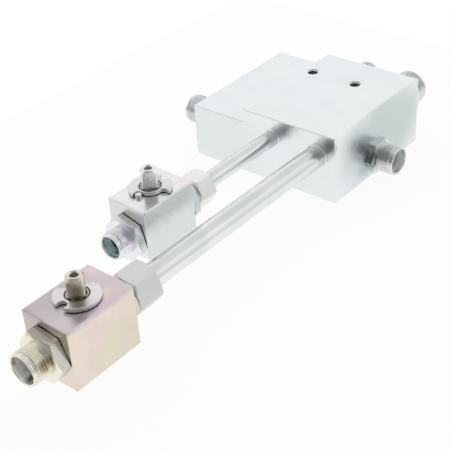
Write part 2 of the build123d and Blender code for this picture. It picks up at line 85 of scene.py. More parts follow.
# The round face that a hexagon's turned corners leave, as a share of its width across flats.
HEX_FACE = 0.96
HEX_CHAMFER = 30.0
CONE_HALF_ANGLE = 12.0

# Most values of a noise lie between these, and this skews its offset along the three axes.
NOISE_LOW, NOISE_HIGH = 0.3, 0.7
NOISE_SKEW = (1.0, 0.7, 1.3)
WHITE = (1.0, 1.0, 1.0, 1.0)

log = logging.getLogger("manifold_scene")


class Axis(Enum):
    """The ways in which turned pieces point: the outward axis, and where their zero angle lies."""

    FRONT = ((0.0, -1.0, 0.0), (1.0, 0.0, 0.0))
    BACK = ((0.0, 1.0, 0.0), (-1.0, 0.0, 0.0))
    RIGHT = ((1.0, 0.0, 0.0), (0.0, 1.0, 0.0))
    LEFT = ((-1.0, 0.0, 0.0), (0.0, -1.0, 0.0))
    UP = ((0.0, 0.0, 1.0), (1.0, 0.0, 0.0))

    def matrix(self, origin_m: Vector) -> Matrix:
        """Matrix from a piece's own millimetres to its place.

        Args:
            origin_m: Point on the piece's axis at its height zero, in metres.

        Returns:
            The matrix that scales, turns and moves the piece.
        """
        axis, zero = (Vector(part) for part in self.value)
        turn = Matrix((zero, axis.cross(zero), axis)).transposed().to_4x4()
        return Matrix.Translation(origin_m) @ turn @ Matrix.Scale(MM, 4)


class Layer(Enum):
    """Noise layers of the finishes: octaves, and an offset that keeps each unlike the others."""

    CLOUDS = (3.0, 0.11)
    RIMS = (3.0, 0.53)
    WEAR = (4.0, 0.37)
    GRAIN = (2.0, 0.73)
    MOTTLE = (3.0, 0.0)
    RUBBED = (2.0, 0.5)
    PORES = (2.0, 0.0)


@dataclass(frozen=True)
class Ring:
    """One ring of a turned or hexagonal piece.

    Attributes:
        radius: Radius, or half the width across flats where the ring has flats.
        height: Height along the axis.
        flats: Number of flat sides, 0 for a round ring.
        crown_from: Radius from which corners are turned down to a chamfer.
        crown_slope: How much a corner drops for each millimetre beyond that radius.
    """

    radius: float
    height: float
    flats: int = 0
    crown_from: float = math.inf
    crown_slope: float = 0.0

    def point(self, angle: float, phase: float) -> Vector:
        """Point of the ring at an angle.

        Args:
            angle: Angle about the axis, in radians.
            phase: Angle of a corner, in radians.

        Returns:
            The point in the piece's own millimetres.
        """
        reach = self.radius
        if self.flats:
            step = 2 * math.pi / self.flats
            reach = self.radius / math.cos((angle - phase) % step - step / 2)
        drop = max(0.0, reach - self.crown_from) * self.crown_slope
        return Vector((reach * math.cos(angle), reach * math.sin(angle), self.height - drop))


@dataclass(frozen=True)
class Thread:
    """A thread's ridge.

    Attributes:
        root: Radius at the bottom of the grooves.
        crest: Radius at the top of the ridge.
        pitch: Distance from one turn to the next.
        seat: How deep the ridge stands in its core.
        side: 1 for a thread on a shaft, -1 for one in a hole.
    """

    root: float
    crest: float
    pitch: float
    start: float
    stop: float
    seat: float = 0.4
    side: int = 1


@dataclass
class Turned:
    """Builder of closed shapes from rings about one axis.

    Attributes:
        phase: Angle of a corner of its flat sided rings.
        shape: What is made so far, in the piece's own millimetres.
    """

    phase: float = 0.0
    shape: Shape = field(default_factory=bmesh.new)

    def add_rings(self, rings: list[Ring]) -> None:
        """Extrude one ring into the next and the last into the first.

        Args:
            rings: The rings in order along the outline, first to last.
        """
        phase = math.radians(self.phase)
        loop = bmesh.ops.create_circle(
            self.shape, cap_ends=False, radius=1, segments=SEGMENTS,
            matrix=Matrix.Rotation(phase, 4, "Z"))["verts"]
        edges = list({edge for vert in loop for edge in vert.link_edges})
        for number, ring in enumerate([*rings, rings[0]]):
            if number:
                made = bmesh.ops.extrude_edge_only(self.shape, edges=edges)["geom"]
                loop = [item for item in made if isinstance(item, bmesh.types.BMVert)]
                edges = [item for item in made if isinstance(item, bmesh.types.BMEdge)]
            for vert in loop:
                vert.co = ring.point(math.atan2(vert.co.y, vert.co.x), phase)
        bmesh.ops.remove_doubles(self.shape, verts=self.shape.verts[:], dist=MERGE)

    def add_thread(self, thread: Thread) -> None:
        """Wind a thread's ridge as a closed solid that stands in the core below it.

        Both its ends run out at 45 degrees.

        Args:
            thread: The thread's sizes.
        """
        ridge = bmesh.new()
        half = RIDGE_FOOT * thread.pitch
        crest_half = RIDGE_CREST * thread.pitch
        low = thread.start - thread.pitch
        turns = math.ceil((thread.stop - thread.start) / thread.pitch) + 2
        inner = thread.root - thread.side * thread.seat
        corners = [(inner, -half), (thread.root, -half), (thread.crest, -crest_half),
                   (thread.crest, crest_half), (thread.root, half), (inner, half)]
        section = ridge.faces.new([ridge.verts.new((r, 0, low + z)) for r, z in corners])
        bmesh.ops.spin(
            ridge, geom=[section, *section.edges, *section.verts], cent=(0, 0, 0), axis=(0, 0, 1),
            dvec=(0, 0, thread.pitch / SEGMENTS), angle=2 * math.pi * turns,
            steps=SEGMENTS * turns, use_duplicate=False)
        for height, side in ((thread.start, -1), (thread.stop, 1)):
            cut = bmesh.ops.bisect_plane(
                ridge, geom=ridge.verts[:] + ridge.edges[:] + ridge.faces[:], dist=CUT_REACH,
                plane_co=(0, 0, height), plane_no=(0, 0, side), clear_outer=True)["geom_cut"]
            rim = [item for item in cut if isinstance(item, bmesh.types.BMEdge)]
            bmesh.ops.holes_fill(ridge, edges=rim, sides=0)
        depth = abs(thread.crest - thread.root)
        for vert in ridge.verts:
            reach, height = math.hypot(vert.co.x, vert.co.y), vert.co.z
            run = min(depth, max(0.0, height - thread.start), max(0.0, thread.stop - height))
            limit = thread.root + thread.side * run
            if (reach - limit) * thread.side > 0:
                vert.co.xy *= limit / reach
        bmesh.ops.recalc_face_normals(ridge, faces=ridge.faces[:])
        pour(ridge, self.shape)

    def soften(self, width: float, steps: int = 2) -> None:
        """Round the sharp edges made so far, by a width and a number of faces across."""
        bmesh.ops.recalc_face_normals(self.shape, faces=self.shape.faces[:])
        round_edges(self.shape, width, steps)


def pour(source: Shape, target: Shape) -> None:
    """Add one shape to another.

    Args:
        source: The shape that is added; it is freed.
        target: The shape that takes it.
    """
    spare = bpy.data.meshes.new("spare")
    source.to_mesh(spare)
    source.free()
    target.from_mesh(spare)
    bpy.data.meshes.remove(spare)


def round_edges(shape: Shape, width: float, steps: int = 2, least: float = SHARP) -> None:
    """Round the sharp edges of a shape.

    Args:
        shape: The shape.
        width: Width of the rounding, in the shape's own unit.
        steps: Number of faces across it.
        least: Edges sharper than this are rounded.
    """
    sharp = [edge for edge in shape.edges if edge.calc_face_angle(0.0) > math.radians(least)]
    bmesh.ops.bevel(
        shape, geom=sharp, offset=width, offset_type="OFFSET", segments=steps, profile=0.5,
        affect="EDGES", clamp_overlap=True, material=-1)


def link_mesh(name: str, shape: Shape) -> bpy.types.Object:
    """Make an object of a shape.

    Args:
        name: The object's name.
        shape: The shape in metres; it is freed.

    Returns:
        The new object.
    """
    mesh = bpy.data.meshes.new(name)
    shape.to_mesh(mesh)
    shape.free()
    piece = bpy.data.objects.new(name, mesh)
    bpy.context.scene.collection.objects.link(piece)
    return piece


def finish_mesh(name: str, shape: Shape) -> bpy.types.Object:
    """Make an object of a shape, smooth but for its sharp edges, with flat faces shaded flat.

    Args:
        name: The object's name.
        shape: The shape in metres; it is freed.

    Returns:
        The new object.
    """
    piece = link_mesh(name, shape)
    piece.data.shade_smooth()
    piece.data.set_sharp_from_angle(angle=math.radians(SHADED_SHARP))
    even = piece.modifiers.new("even_light", "WEIGHTED_NORMAL")
    even.mode = "FACE_AREA"
    even.weight = 100
    even.keep_sharp = True
    return piece


def shape_of(node: str) -> Shape:
    """Copy a CAD piece's mesh with its triangles joined into flat faces.

    Args:
        node: The CAD piece's name.

    Returns:
        The shape in metres.
    """
    shape = bmesh.new()
    shape.from_mesh(frame["nodes"][node].data)
    bmesh.ops.remove_doubles(shape, verts=shape.verts[:], dist=CAD_MERGE_M)
    bmesh.ops.dissolve_limit(
        shape, angle_limit=math.radians(FLAT), verts=shape.verts[:], edges=shape.edges[:])
    return shape


def middle_m(node: str) -> Vector:
    """Middle of a CAD piece's box, in metres."""
    low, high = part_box(node)
    return (low + high) / 2


class Nodes:
    """Adds and joins the nodes of one tree."""

    def __init__(self, tree: bpy.types.NodeTree) -> None:
        """Keep the tree."""
        self.tree = tree

    def fill(self, node: bpy.types.Node, values: dict[str | int, object]) -> None:
        """Link or set a node's inputs.

        Args:
            node: The node.
            values: A socket to link or a plain value for each input, by its name or number.
        """
        for key, value in values.items():
            if isinstance(value, bpy.types.NodeSocket):
                self.tree.links.new(value, node.inputs[key])
            else:
                node.inputs[key].default_value = value

    def add(self, kind: str, values: dict[str | int, object] | None = None,
            **settings: object) -> bpy.types.Node:
        """Add a node.

        Args:
            kind: Its type, without the ShaderNode prefix.
            values: What its inputs take, as in fill.
            settings: Properties to set on it.

        Returns:
            The node.
        """
        node = self.tree.nodes.new(f"ShaderNode{kind}")
        for key, value in settings.items():
            setattr(node, key, value)
        self.fill(node, values or {})
        return node

    def ramp(self, value: Socket, stops: Stops) -> Socket:
        """Colour ramp.

        Args:
            value: What drives it.
            stops: Positions and linear colours.

        Returns:
            The colour socket.
        """
        ramp = self.add("ValToRGB", {"Fac": value})
        elements = ramp.color_ramp.elements
        while len(elements) < len(stops):
            elements.new(0.5)
        for element, (position, colour) in zip(elements, stops):
            element.position = position
            element.color = (*colour, 1.0)
        return ramp.outputs["Color"]

    def spread(self, value: Socket, low: float, high: float, start: float = NOISE_LOW,
               stop: float = NOISE_HIGH, kind: str = "LINEAR") -> Socket:
        """Map a value from start to stop onto low to high."""
        return self.add("MapRange", {
            "Value": value, "From Min": start, "From Max": stop, "To Min": low, "To Max": high,
        }, interpolation_type=kind).outputs["Result"]


class Graph(Nodes):
    """A material with a Principled shader, and the patterns of its finish."""

    def __init__(self, name: str) -> None:
        """Start the material.

        Args:
            name: Its name.
        """
        self.material = bpy.data.materials.new(name)
        self.material.use_nodes = True
        super().__init__(self.material.node_tree)
        self.shader = self.tree.nodes["Principled BSDF"]
        self.place = self.add("TexCoord").outputs["Object"]

    def noise(self, layer: Layer, scale: float, stretch: Triple = (1, 1, 1),
              warp: float = 0.0) -> Socket:
        """Noise over Object coordinates.

        Args:
            layer: Its octaves and its offset.
            scale: Features for each metre.
            stretch: Scale along each axis.
            warp: How much it is warped.

        Returns:
            The noise's value socket.
        """
        detail, shift = layer.value
        mapping = self.add("Mapping", {
            "Vector": self.place, "Scale": stretch,
            "Location": [shift * part for part in NOISE_SKEW]})
        return self.add("TexNoise", {
            "Vector": mapping.outputs["Vector"], "Scale": scale, "Detail": detail,
            "Distortion": warp}).outputs["Fac"]

    def patch(self, patch: Patch, ragged: Socket) -> Socket:
        """Mask of a soft patch round a point.

        Args:
            patch: The patch.
            ragged: Noise that makes its rim uneven.

        Returns:
            A socket that is the patch's strength in its middle and 0 outside it.
        """
        centre, reach = ([value * MM for value in part] for part in (patch.centre, patch.reach))
        away = self.add("VectorMath", {0: self.place, 1: centre}, operation="SUBTRACT")
        ball = self.add("VectorMath", {0: away.outputs["Vector"], 1: reach}, operation="DIVIDE")
        distance = self.add("VectorMath", {0: ball.outputs["Vector"]}, operation="LENGTH")
        uneven = self.spread(ragged, -patch.ragged, patch.ragged, 0.0, 1.0)
        total = self.add("Math", {0: distance.outputs["Value"], 1: uneven}, operation="ADD")
        return self.spread(
            total.outputs["Value"], patch.strength, 0.0, patch.core, 1.0, "SMOOTHSTEP")

    def blend(self, mask: Socket, under: Socket, colour: Triple) -> Socket:
        """Mix a linear colour over the one under it by a mask."""
        return self.add("Mix", {
            "Factor": mask, "A": under, "B": (*colour, 1.0)}, data_type="RGBA").outputs["Result"]

    def finish(self, colour: Socket, rough: Socket, grain: Socket, strength: float,
               depth_m: float) -> bpy.types.Material:
        """Join a finish's patterns to the shader.

        Args:
            colour: Its colour.
            rough: Its roughness.
            grain: Height of its grain.
            strength: Strength of the grain.
            depth_m: Depth of the grain, in metres.

        Returns:
            The material.
        """
        bump = self.add("Bump", {"Height": grain, "Strength": strength, "Distance": depth_m})
        self.fill(self.shader, {
            "Base Color": colour, "Roughness": rough, "Normal": bump.outputs["Normal"]})
        return self.material


@dataclass(frozen=True)
class Patch:
    """A soft patch of another colour round a point: a tint of the plating in some places, painted
    light and shade in others.

    Attributes:
        centre: Its middle.
        reach: How far it reaches along each axis.
        colour: Its linear colour.
        strength: Share of the colour in its middle.
        core: Share of the reach over which it keeps its strength.
        ragged: Unevenness of its rim, as a share of the reach.
        dull: Share by which the patch is matte instead of bare metal.
    """

    centre: Triple
    reach: Triple
    colour: Triple
    strength: float = 1.0
    core: float = 0.0
    ragged: float = 0.3
    dull: float = 0.0


@dataclass(frozen=True)
class Plating:
    """Satin plated steel with cloudy tints.

    Attributes:
        stops: Tints from one end of the clouds to the other, as positions and linear colours.
        roughness: Lowest and highest roughness.
        cloud: Clouds for each metre.
        grain: Strength of the fine grain in the surface.
        warp: How much the clouds are warped.
        drawn: Scale along each axis of the marks that drawing or milling left.
        patches: Patches of other tints and of painted light and shade; at most one of them may be
            dull.
    """

    name: str
    stops: Stops
    roughness: tuple[float, float]
    cloud: float = 14.0
    grain: float = 0.05
    warp: float = 0.6
    drawn: Triple = (1.0, 1.0, 1.0)
    patches: tuple[Patch, ...] = ()
    rim_ratio: int = 3
    wear_ratio: int = 4
    grain_scale: float = 2600.0
    grain_depth_m: float = 0.00004

    def material(self) -> bpy.types.Material:
        """Build the material.

        Returns:
            The material.
        """
        graph = Graph(self.name)
        colour = graph.ramp(graph.noise(Layer.CLOUDS, self.cloud, warp=self.warp), self.stops)
        ragged = graph.noise(Layer.RIMS, self.cloud * self.rim_ratio)
        graph.fill(graph.shader, {"Metallic": 1.0})
        for patch in self.patches:
            mask = graph.patch(patch, ragged)
            colour = graph.blend(mask, colour, patch.colour)
            if patch.dull:
                bare = graph.spread(mask, 1.0, 1.0 - patch.dull, 0.0, patch.strength)
                graph.fill(graph.shader, {"Metallic": bare})
        wear = graph.noise(Layer.WEAR, self.cloud * self.wear_ratio, self.drawn)
        fine = graph.noise(Layer.GRAIN, self.grain_scale, self.drawn)
        return graph.finish(
            colour, graph.spread(wear, *self.roughness), fine, self.grain, self.grain_depth_m)


@dataclass(frozen=True)
class Plain:
    """A plain finish for the inner pieces: plastic, rubber, polished ball.

    Attributes:
        roughness: Lowest and highest roughness.
        metallic: 1 for metal, 0 for the rest.
        grain: Strength of the surface's grain.
    """

    name: str
    low: Triple
    high: Triple
    roughness: tuple[float, float]
    metallic: float = 0.0
    grain: float = 0.1
    mottle_scale: float = 90.0
    rubbed_scale: float = 400.0
    grain_scale: float = 3000.0
    grain_depth_m: float = 0.00003

    def material(self) -> bpy.types.Material:
        """Build the material.

        Returns:
            The material.
        """
        graph = Graph(self.name)
        graph.fill(graph.shader, {"Metallic": self.metallic})
        stops = ((NOISE_LOW, self.low), (NOISE_HIGH, self.high))
        colour = graph.ramp(graph.noise(Layer.MOTTLE, self.mottle_scale), stops)
        rough = graph.spread(graph.noise(Layer.RUBBED, self.rubbed_scale), *self.roughness)
        pores = graph.noise(Layer.PORES, self.grain_scale)
        return graph.finish(colour, rough, pores, self.grain, self.grain_depth_m)


BRIGHT_ZINC_PAINTED_LIGHT_AND_SHADE = Plating(
    "bright_zinc_painted_light_and_shade",
    ((0.25, (0.71, 0.76, 0.75)), (0.45, (0.75, 0.78, 0.78)), (0.6, (0.76, 0.77, 0.79)),
     (0.8, (0.79, 0.8, 0.79))),
    (0.18, 0.28), cloud=30.0, patches=(
        # Painted shade on the front facets of the right port's hexagon.
        Patch((91, -15, 21), (4.5, 6, 12), (0.28, 0.3, 0.3), 0.9, 0.6, 0.1),
        # Painted light: a near white, matte lining inside the right port's mouth that stands for
        # light reaching in.
        Patch((107, 0, 19), (16, 11.9, 11.9), (0.97, 0.98, 0.98), 1.0, 0.96, 0.0, 0.9)))
BLOCK_ZINC_PAINTED_SHADE = Plating(
    "block_zinc_painted_shade",
    ((0.25, (0.8, 0.86, 0.85)), (0.42, (0.84, 0.87, 0.88)), (0.55, (0.85, 0.87, 0.9)),
     (0.66, (0.85, 0.89, 0.88)), (0.8, (0.9, 0.9, 0.91))),
    (0.2, 0.3), cloud=9.0, patches=(
        # Painted shade: a dark halo round the near tube's root, for its shadow and reflection in the
        # face.
        Patch((81.5, -74, 60.5), (10.5, 8, 11.5), (0.3, 0.32, 0.33), 0.75, 0.2, 0.12),
        # Painted shade: the same dark halo round the far tube's root.
        Patch((29, -74, 61), (13, 8, 10), (0.42, 0.44, 0.46), 0.62, 0.1, 0.12),
        Patch((-50, -76, 35), (60, 6, 60), (0.76, 0.82, 0.8), 0.7, 0.6, 0.2),
        # Painted shade over the right face, in the plating's greenish tint.
        Patch((90, 10, 38), (9, 100, 62), (0.55, 0.61, 0.61), 0.85, 0.45, 0.1),
        # Painted shade below the right port, for its shadow and reflection in the face.
        Patch((90, -20, 16), (8, 22, 16), (0.4, 0.45, 0.45), 0.75, 0.3, 0.2),
        # Painted shade deep in the two tapped holes in the top.
        Patch((-12, 30, 56), (26, 26, 14.6), (0.44, 0.45, 0.46), 0.95, 0.9, 0.0),
        Patch((40, 30, 56), (26, 26, 14.6), (0.44, 0.45, 0.46), 0.95, 0.9, 0.0)))
TUBE_ZINC_PAINTED_SHADE = Plating(
    "tube_zinc_painted_shade",
    ((0.3, (0.76, 0.79, 0.8)), (0.5, (0.82, 0.84, 0.85)), (0.75, (0.87, 0.88, 0.88))),
    (0.18, 0.27), cloud=22.0, drawn=(1.0, 0.08, 1.0), grain=0.08, patches=(
        # Painted shade, matte, over both tubes near their roots at the block.
        Patch((39, -74, 48), (48, 20, 26), (0.7, 0.72, 0.73), 0.6, 0.6, 0.15, 0.6),))
NUT_ZINC = Plating(
    "nut_zinc",
    ((0.25, (0.74, 0.78, 0.75)), (0.42, (0.78, 0.8, 0.79)), (0.55, (0.81, 0.79, 0.82)),
     (0.7, (0.8, 0.8, 0.84)), (0.85, (0.84, 0.81, 0.8))),
    (0.34, 0.44), cloud=26.0)
WHITE_ZINC = Plating(
    "white_zinc",
    ((0.25, (0.9, 0.93, 0.9)), (0.45, (0.93, 0.93, 0.93)), (0.6, (0.94, 0.9, 0.91)),
     (0.8, (0.92, 0.94, 0.93))),
    (0.34, 0.44), cloud=30.0)
ROSE_ZINC_PAINTED_SHADE = Plating(
    "rose_zinc_painted_shade",
    ((0.2, (0.76, 0.72, 0.57)), (0.36, (0.81, 0.75, 0.6)), (0.46, (0.8, 0.71, 0.64)),
     (0.56, (0.82, 0.77, 0.62)), (0.66, (0.84, 0.82, 0.66)), (0.85, (0.8, 0.8, 0.7))),
    (0.24, 0.36), cloud=16.0, warp=0.9, patches=(
        Patch((65, -382, 77), (80, 110, 8), (0.68, 0.62, 0.64), 0.95, 0.6, 0.1),
        Patch((40, -400, 77), (50, 62, 9), (0.56, 0.51, 0.51), 0.85, 0.2, 0.15),
        Patch((50, -352, 77), (16, 9, 8), (0.9, 0.68, 0.68), 0.7, 0.1, 0.35),
        Patch((84, -362, 77), (20, 30, 8), (0.8, 0.64, 0.68), 0.6, 0.1, 0.35),
        Patch((78, -366, 77), (7, 10, 6), (0.86, 0.76, 0.5), 0.7, 0.1, 0.4),
        Patch((84, -378, 77), (6, 9, 6), (0.88, 0.6, 0.72), 0.7, 0.1, 0.4),
        Patch((88, -388, 77), (8, 30, 7), (0.7, 0.6, 0.76), 0.6, 0.1, 0.4),
        Patch((91, -395, 60), (5, 30, 18), (0.84, 0.68, 0.68), 0.6, 0.1, 0.4),
        Patch((91, -410, 40), (5, 14, 40), (0.86, 0.74, 0.7), 0.5, 0.1, 0.4),
        Patch((91, -350, 30), (5, 60, 30), (0.72, 0.69, 0.57), 0.6, 0.2, 0.4),
        # Painted shade on the front face round the front hexagon, which shades it and is mirrored in
        # it.
        Patch((44, -418, 66), (34, 5, 22), (0.52, 0.44, 0.48), 0.8, 0.5, 0.3)))
OLIVE_ZINC_PAINTED_LIGHT_AND_SHADE = Plating(
    "olive_zinc",
    ((0.25, (0.8, 0.79, 0.66)), (0.42, (0.88, 0.84, 0.75)), (0.55, (0.9, 0.89, 0.78)),
     (0.68, (0.86, 0.81, 0.77)), (0.85, (0.9, 0.91, 0.78))),
    (0.2, 0.32), cloud=42.0, grain=0.08, patches=(
        # Painted shade on the hexagon's top facets.
        Patch((66, -423, 70), (27, 9, 8.5), (0.42, 0.39, 0.34), 0.9, 0.6, 0.15),
        # Painted shade, olive brown, on the thread's right side.
        Patch((79, -433, 50), (7, 10, 8), (0.4, 0.34, 0.19), 0.85, 0.3, 0.3),
        # Painted highlight, yellow green, on the hexagon's upper chamfer.
        Patch((58, -429, 64), (7, 4, 6), (0.86, 0.88, 0.58), 0.8, 0.2, 0.3),
        # Painted light on the hexagon's lower right facet.
        Patch((82, -421, 34), (8, 9, 9), (0.94, 0.93, 0.9), 0.8, 0.3, 0.3),
        # Painted light: a near white, matte lining inside the mouth that stands for light reaching
        # in.
        Patch((65.5, -439, 46.5), (11.9, 15, 11.9), (0.98, 0.98, 0.98), 1.0, 0.96, 0.0, 0.8),
        # Painted shade low down inside the mouth.
        Patch((67, -438, 35), (6, 7, 4.5), (0.06, 0.07, 0.05), 0.9, 0.3, 0.2)))
PALE_ZINC_PAINTED_LIGHT_AND_SHADE = Plating(
    "pale_zinc_painted_light_and_shade",
    ((0.22, (0.8, 0.83, 0.81)), (0.4, (0.84, 0.86, 0.86)), (0.52, (0.85, 0.84, 0.87)),
     (0.62, (0.86, 0.87, 0.85)), (0.78, (0.88, 0.87, 0.86))),
    (0.2, 0.3), cloud=20.0, warp=0.9, patches=(
        Patch((13, -268, 81), (22, 8, 6), (0.86, 0.81, 0.8), 0.6, 0.2, 0.35),
        # Painted shade over the right face.
        Patch((37, -245, 50), (6, 60, 60), (0.71, 0.75, 0.75), 0.8, 0.6, 0.2),
        # Painted shade on the front face round the front hexagon.
        Patch((5, -276, 60), (34, 5, 28), (0.72, 0.72, 0.72), 0.8, 0.6, 0.3),
        Patch((28, -216, 81), (18, 14, 5), (0.88, 0.78, 0.76), 0.6, 0.2, 0.35),
        # Painted light that lifts the right face's painted shade near its top.
        Patch((35, -262, 70), (5, 22, 16), (0.86, 0.9, 0.9), 0.6, 0.1, 0.4)))
BLUE_ZINC_PAINTED_LIGHT_AND_SHADE = Plating(
    "blue_zinc_painted_light_and_shade",
    ((0.22, (0.78, 0.84, 0.8)), (0.38, (0.84, 0.87, 0.88)), (0.5, (0.85, 0.85, 0.9)),
     (0.6, (0.86, 0.89, 0.88)), (0.72, (0.88, 0.85, 0.8)), (0.85, (0.84, 0.89, 0.84))),
    (0.16, 0.26), cloud=45.0, patches=(
        # Painted shade on the hexagon's top facets.
        Patch((13, -275, 66), (24, 8, 12), (0.72, 0.7, 0.66), 0.7, 0.3, 0.2),
        # Painted highlight, lavender, at the foot of the neck in front of the hexagon.
        Patch((24.9, -284.5, 49.8), (5, 4, 7), (0.88, 0.74, 0.95), 0.7, 0.1, 0.3),
        Patch((13, -298, 50), (14.5, 3, 14.5), (0.82, 0.74, 0.68), 0.6, 0.6, 0.1),
        # Painted light: a pale teal, matte lining inside the mouth that stands for light reaching
        # in.
        Patch((13, -293, 50), (9.9, 14, 9.9), (0.76, 0.99, 0.98), 1.0, 0.96, 0.0, 0.85),
        Patch((13, -285.5, 50), (9, 4.5, 9), (0.86, 0.83, 0.9), 0.9, 0.9, 0.0),
        # Painted shade: a black ring deep in the socket.
        Patch((13, -288, 50), (9.9, 2, 9.9), (0.02, 0.04, 0.04), 0.95, 0.9, 0.0),
        # Painted shade low down inside the mouth.
        Patch((12.5, -291, 41), (4, 5, 4), (0.16, 0.24, 0.3), 0.8, 0.2, 0.2),
        # Painted shade, blue, on the upper inner wall of the mouth.
        Patch((7.5, -294.5, 57), (4.5, 7, 3.6), (0.22, 0.38, 0.7), 0.9, 0.4, 0.2),
        Patch((3.5, -296, 47), (3, 6, 3), (0.46, 0.42, 0.32), 0.6, 0.2, 0.3)))
DISC_ZINC_PAINTED_SHADE = Plating(
    "disc_zinc_painted_shade",
    ((0.3, (0.72, 0.73, 0.73)), (0.5, (0.8, 0.8, 0.8)), (0.75, (0.87, 0.86, 0.85))),
    (0.26, 0.36), cloud=40.0, grain=0.12, patches=(
        # Painted shade: dark rings on both discs round the snap rings, where the gaps shade them.
        Patch((65.5, -382.5, 79), (10.8, 10.8, 6), (0.05, 0.05, 0.05), 0.95, 0.9, 0.02),
        Patch((13, -244, 84), (10.8, 10.8, 6), (0.06, 0.06, 0.06), 0.95, 0.9, 0.02)))
BROWN_STEEL_PAINTED_SHADE = Plating(
    "brown_steel_painted_shade",
    ((0.3, (0.52, 0.46, 0.34)), (0.5, (0.62, 0.56, 0.43)), (0.75, (0.74, 0.69, 0.58))),
    (0.22, 0.34), cloud=90.0, grain=0.12, drawn=(1.0, 1.0, 0.2), patches=(
        # Lighter towards the top of the spindle.
        Patch((65.5, -382.5, 97), (12, 12, 7), (0.88, 0.84, 0.78), 0.8, 0.3, 0.15),
        # Darker at the foot of the spindle's front corner.
        Patch((71, -388, 85), (4.6, 4.6, 10), (0.36, 0.32, 0.23), 0.9, 0.4, 0.1),
        # Painted shade: a darker, matte lining in the spindle's tapped hole.
        Patch((65.5, -382.5, 88), (4, 4, 16), (0.46, 0.43, 0.38), 1.0, 0.92, 0.0, 0.8)))
GREY_STEEL_PAINTED_SHADE = Plating(
    "grey_steel_painted_shade",
    ((0.3, (0.78, 0.8, 0.82)), (0.5, (0.88, 0.88, 0.9)), (0.75, (0.94, 0.94, 0.94))),
    (0.18, 0.3), cloud=90.0, grain=0.12, drawn=(1.0, 1.0, 0.2), patches=(
        # Painted shade: a darker, matte lining in the spindle's tapped hole.
        Patch((13, -244, 93), (4, 4, 16), (0.6, 0.6, 0.6), 1.0, 0.92, 0.0, 0.8),))
SPRING_STEEL = Plating(
    "spring_steel",
    ((0.3, (0.55, 0.55, 0.54)), (0.7, (0.72, 0.71, 0.7))),
    (0.25, 0.4), cloud=150.0, grain=0.1)
BRAZE = Plating(
    "braze_metal",
    ((0.3, (0.76, 0.77, 0.77)), (0.7, (0.9, 0.91, 0.91))),
    (0.18, 0.3), cloud=160.0, grain=0.4)
BALL_CHROME = Plain("ball_chrome", (0.7, 0.7, 0.72), (0.78, 0.78, 0.8), (0.06, 0.12), 1.0, 0.02)
SEAT_PLASTIC = Plain("seat_plastic", (0.74, 0.74, 0.68), (0.82, 0.82, 0.76), (0.4, 0.55))
SEAL_RUBBER = Plain("seal_rubber", (0.012, 0.012, 0.012), (0.03, 0.03, 0.03), (0.5, 0.7))


class Dresser:
    """Gives pieces their finish and body, and reports them."""

    def __init__(self) -> None:
        """Start with no materials and read the record's slots and bodies."""
        record = frame["record"]
        self.materials: dict[str, bpy.types.Material] = {}
        self.slots = {part["node"]: part["material_slot"] for part in record["subparts"]}
        self.bodies = {
            node: body for body, nodes in record["behaviour"]["bodies"].items() for node in nodes}

    def paint(self, piece: bpy.types.Object, finish: Plating | Plain) -> None:
        """Give a piece a finish.

        Args:
            piece: The object.
            finish: Its finish, built once and shared.
        """
        if finish.name not in self.materials:
            self.materials[finish.name] = finish.material()
        piece.data.materials.clear()
        piece.data.materials.append(self.materials[finish.name])

    def stand_for(self, shape: Shape, node: str, finish: Plating) -> None:
        """Let a shape stand for a CAD piece.

        Args:
            shape: The shape in metres; it is freed.
            node: The CAD piece's name.
            finish: Its finish.
        """
        piece = finish_mesh(f"{node}_dressed", shape)
        self.paint(piece, finish)
        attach(piece, self.bodies[node])
        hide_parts(node)
        log.info("%s stands for %s on %s", piece.name, node, self.bodies[node])

    def turn(self, turned: Turned, node: str, place: Matrix, finish: Plating) -> None:
        """Let a turned shape stand for a CAD piece.

        Args:
            turned: The shape in its own millimetres.
            node: The CAD piece's name.
            place: Matrix from those millimetres to its place.
            finish: Its finish.
        """
        shape = turned.shape
        bmesh.ops.recalc_face_normals(shape, faces=shape.faces[:])
        bmesh.ops.transform(shape, matrix=place, verts=shape.verts[:])
        self.stand_for(shape, node, finish)

    def soften(self, node: str, width: float, finish: Plating, steps: int = 2) -> None:
        """Let a copy of a CAD piece with rounded edges stand for it.

        Args:
            node: The CAD piece's name.
            width: Width of the rounding.
            finish: Its finish.
            steps: Number of faces across the rounding.
        """
        shape = shape_of(node)
        round_edges(shape, width * MM, steps, CAD_SHARP)
        self.stand_for(shape, node, finish)

    def keep(self, node: str, finish: Plating | Plain) -> None:
        """Keep a CAD piece and give it a finish."""
        self.paint(frame["nodes"][node], finish)
        log.info("%s keeps its CAD shape", node)


